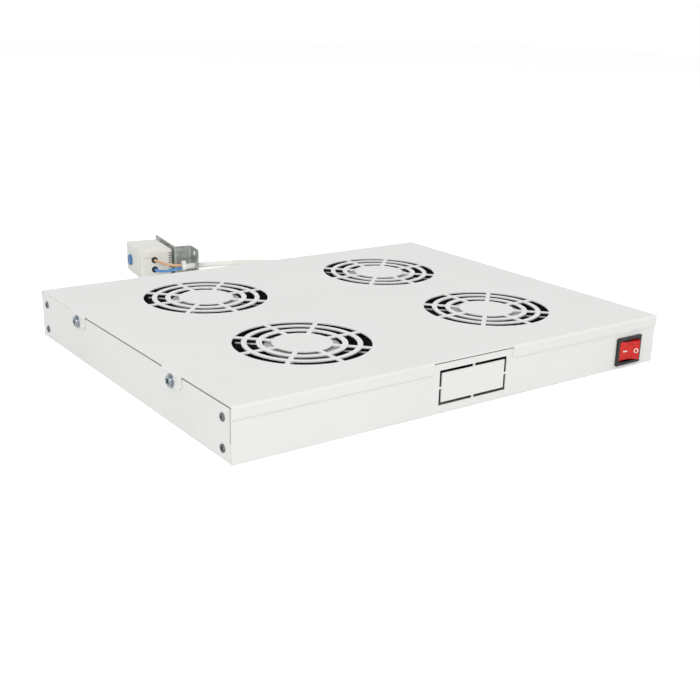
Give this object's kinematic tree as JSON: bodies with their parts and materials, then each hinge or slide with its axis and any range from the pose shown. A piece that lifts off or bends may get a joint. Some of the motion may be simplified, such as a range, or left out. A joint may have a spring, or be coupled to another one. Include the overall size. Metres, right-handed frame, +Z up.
{
  "type": "rack fan tray",
  "caption": "Flat rack-mount fan tray: sheet-metal case with axial fans under punched ring grilles, front rocker switch, rear inlet and a cabled thermostat.",
  "frame": {"origin": "middle of the case's underside", "axes": "+X to the right along the front panel, +Y from the front panel to the rear, +Z up"},
  "size_m": [0.4488, 0.5694, 0.0436],
  "materials": {
    "powder_coat": "satin",
    "galvanised_sheet": "satin",
    "zinc_plate": "satin",
    "nickel_screw": "satin",
    "fan_alloy": "matt",
    "impeller_plastic": "matt",
    "stator_iron": "matt",
    "ground_steel": "polished",
    "label_foil": "satin",
    "brass_tin": "satin",
    "lead_black": "satin",
    "lead_green": "satin",
    "cable_white": "satin",
    "block_plastic": "matt",
    "switch_black": "satin",
    "rocker_red": "gloss",
    "inlet_black": "matt",
    "gland_black": "matt",
    "seal_rubber": "matt",
    "thermostat_white": "satin",
    "dial_blue": "satin",
    "tie_white": "satin",
    "wire_brown": "satin",
    "wire_blue": "satin"
  },
  "bodies": {
    "case": {"base_pan": "powder_coat", "block_screws": "zinc_plate", "bracket_screws": "zinc_plate", "cable_tie": "tie_white", "corner_brackets": "galvanised_sheet", "cover_nuts": "zinc_plate", "cover_screws": "zinc_plate", "earth_lead": "lead_green", "earth_stud": "brass_tin", "fan_bearings": "ground_steel", "fan_frame_front_left": "fan_alloy", "fan_frame_front_right": "fan_alloy", "fan_frame_rear_left": "fan_alloy", "fan_frame_rear_right": "fan_alloy", "fan_labels": "label_foil", "fan_leads": "lead_black", "fan_screws": "zinc_plate", "fan_stator_front_left": "stator_iron", "fan_stator_front_right": "stator_iron", "fan_stator_rear_left": "stator_iron", "fan_stator_rear_right": "stator_iron", "fan_terminals": "brass_tin", "front_panel": "powder_coat", "gland_body": "gland_black", "gland_cap": "gland_black", "gland_locknut": "gland_black", "gland_seal": "seal_rubber", "inlet_body": "inlet_black", "inlet_fixings": "zinc_plate", "inlet_pins": "brass_tin", "inner_lead": "cable_white", "mains_lead": "lead_black", "panel_screws": "nickel_screw", "rear_panel": "powder_coat", "sensor_bracket": "galvanised_sheet", "switch_body": "switch_black", "switch_terminals": "brass_tin", "switched_lead": "lead_black", "terminal_block": "block_plastic", "thermostat_base": "thermostat_white", "thermostat_cable": "cable_white", "thermostat_case": "thermostat_white", "top_cover": "powder_coat", "wire_blue": "wire_blue", "wire_brown": "wire_brown"},
    "rotor_front_left": {"fan_impeller_front_left": "impeller_plastic", "fan_shaft_front_left": "ground_steel"},
    "rotor_rear_left": {"fan_impeller_rear_left": "impeller_plastic", "fan_shaft_rear_left": "ground_steel"},
    "rotor_front_right": {"fan_impeller_front_right": "impeller_plastic", "fan_shaft_front_right": "ground_steel"},
    "rotor_rear_right": {"fan_impeller_rear_right": "impeller_plastic", "fan_shaft_rear_right": "ground_steel"},
    "rocker": {"switch_rocker": "rocker_red"},
    "dial": {"thermostat_dial": "dial_blue"}
  },
  "joints": [
    {"name": "fan_spin_front_left", "type": "hinge", "parent": "case", "child": "rotor_front_left", "pos_m": [-0.1, -0.081, 0.02], "axis": [0, 0, 1], "continuous": true},
    {"name": "fan_spin_rear_left", "type": "hinge", "parent": "case", "child": "rotor_rear_left", "pos_m": [-0.1, 0.081, 0.02], "axis": [0, 0, 1], "continuous": true},
    {"name": "fan_spin_front_right", "type": "hinge", "parent": "case", "child": "rotor_front_right", "pos_m": [0.1, -0.081, 0.02], "axis": [0, 0, 1], "continuous": true},
    {"name": "fan_spin_rear_right", "type": "hinge", "parent": "case", "child": "rotor_rear_right", "pos_m": [0.1, 0.081, 0.02], "axis": [0, 0, 1], "continuous": true},
    {"name": "rocker_tilt", "type": "hinge", "parent": "case", "child": "rocker", "pos_m": [0.1852, -0.1764, 0.016], "axis": [0, 0, 1], "range_deg": [0, 24]},
    {"name": "dial_turn", "type": "hinge", "parent": "case", "child": "dial", "pos_m": [-0.04614, 0.36553, 0.0145], "axis": [0.989, -0.1478, 0], "range_deg": [-135, 135]}
  ]
}
